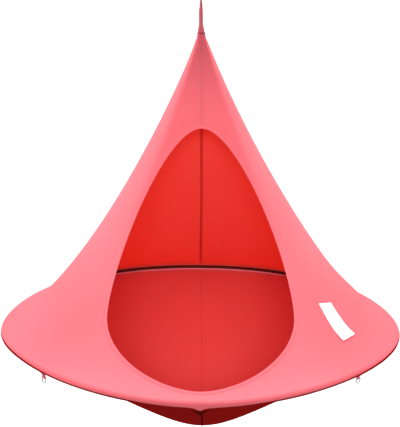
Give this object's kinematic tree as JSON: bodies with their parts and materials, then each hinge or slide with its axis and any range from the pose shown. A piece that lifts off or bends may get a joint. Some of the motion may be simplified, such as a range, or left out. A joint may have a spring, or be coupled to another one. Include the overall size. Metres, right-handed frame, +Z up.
{
  "type": "hanging tent",
  "caption": "Round hanging tent: a sewn fabric cone with a teardrop doorway and a slack floor on a sleeved tube hoop, hung from a webbing loop, with D-rings under the rim.",
  "frame": {"origin": "the point inside the crown of the webbing loop where the tent hangs", "axes": "+Z up along the tent's axis, -Y towards the doorway, +X to the right as seen from the front"},
  "size_m": [1.5, 1.5, 1.6104],
  "materials": {
    "canopy_fabric": "matt woven polyester cotton, coral red",
    "floor_fabric": "matt heavy woven cloth, deep red",
    "seam_tape": "matt woven tape, red",
    "black_tape": "matt woven tape, black",
    "webbing": "woven webbing, dusty red",
    "white_tag": "satin woven label, white and bare",
    "hoop_tube": "drawn tube, natural",
    "ring_steel": "nickel plated steel wire"
  },
  "bodies": {
    "loop": {"hanging_loop": "webbing"},
    "neck": {"neck_cuff": "webbing"},
    "tent": {"blank_tag": "white_tag", "canopy_back_left": "canopy_fabric", "canopy_back_right": "canopy_fabric", "canopy_front_left": "canopy_fabric", "canopy_front_right": "canopy_fabric", "door_binding": "canopy_fabric", "floor_left": "floor_fabric", "floor_right": "floor_fabric", "floor_rim_tape": "seam_tape", "floor_seam_tape": "seam_tape", "gather_collar": "webbing", "hoop_sleeve_back_left": "canopy_fabric", "hoop_sleeve_back_right": "canopy_fabric", "hoop_sleeve_front_left": "canopy_fabric", "hoop_sleeve_front_right": "canopy_fabric", "hoop_spigot_1": "hoop_tube", "hoop_spigot_2": "hoop_tube", "hoop_spigot_3": "hoop_tube", "hoop_spigot_4": "hoop_tube", "hoop_spigot_5": "hoop_tube", "hoop_spigot_6": "hoop_tube", "hoop_spigot_7": "hoop_tube", "hoop_spigot_8": "hoop_tube", "hoop_tube_1": "hoop_tube", "hoop_tube_2": "hoop_tube", "hoop_tube_3": "hoop_tube", "hoop_tube_4": "hoop_tube", "hoop_tube_5": "hoop_tube", "hoop_tube_6": "hoop_tube", "hoop_tube_7": "hoop_tube", "hoop_tube_8": "hoop_tube", "ring_tab_back_left": "webbing", "ring_tab_back_right": "webbing", "ring_tab_front_left": "webbing", "ring_tab_front_right": "webbing", "seam_tape_back": "seam_tape", "seam_tape_front": "seam_tape", "seam_tape_left": "seam_tape", "seam_tape_right": "seam_tape", "wall_band": "black_tape"},
    "ring_back_left": {"d_ring_back_left": "ring_steel"},
    "ring_back_right": {"d_ring_back_right": "ring_steel"},
    "ring_front_left": {"d_ring_front_left": "ring_steel"},
    "ring_front_right": {"d_ring_front_right": "ring_steel"}
  },
  "joints": [
    {"name": "side_swing", "type": "hinge", "parent": "loop", "child": "neck", "pos_m": [0, 0, -0.04], "axis": [0, 1, 0], "range_deg": [-15, 15]},
    {"name": "fore_swing", "type": "hinge", "parent": "neck", "child": "tent", "pos_m": [0, 0, -0.112], "axis": [1, 0, 0], "range_deg": [-15, 15]},
    {"name": "ring_front_right_swing", "type": "hinge", "parent": "tent", "child": "ring_front_right", "pos_m": [0.52057, -0.52057, -1.2172], "axis": [-0.7071, -0.7071, 0], "range_deg": [-60, 75]},
    {"name": "ring_back_right_swing", "type": "hinge", "parent": "tent", "child": "ring_back_right", "pos_m": [0.52057, 0.52057, -1.2172], "axis": [0.7071, -0.7071, 0], "range_deg": [-60, 75]},
    {"name": "ring_back_left_swing", "type": "hinge", "parent": "tent", "child": "ring_back_left", "pos_m": [-0.52057, 0.52057, -1.2172], "axis": [0.7071, 0.7071, 0], "range_deg": [-60, 75]},
    {"name": "ring_front_left_swing", "type": "hinge", "parent": "tent", "child": "ring_front_left", "pos_m": [-0.52057, -0.52057, -1.2172], "axis": [-0.7071, 0.7071, 0], "range_deg": [-60, 75]}
  ]
}
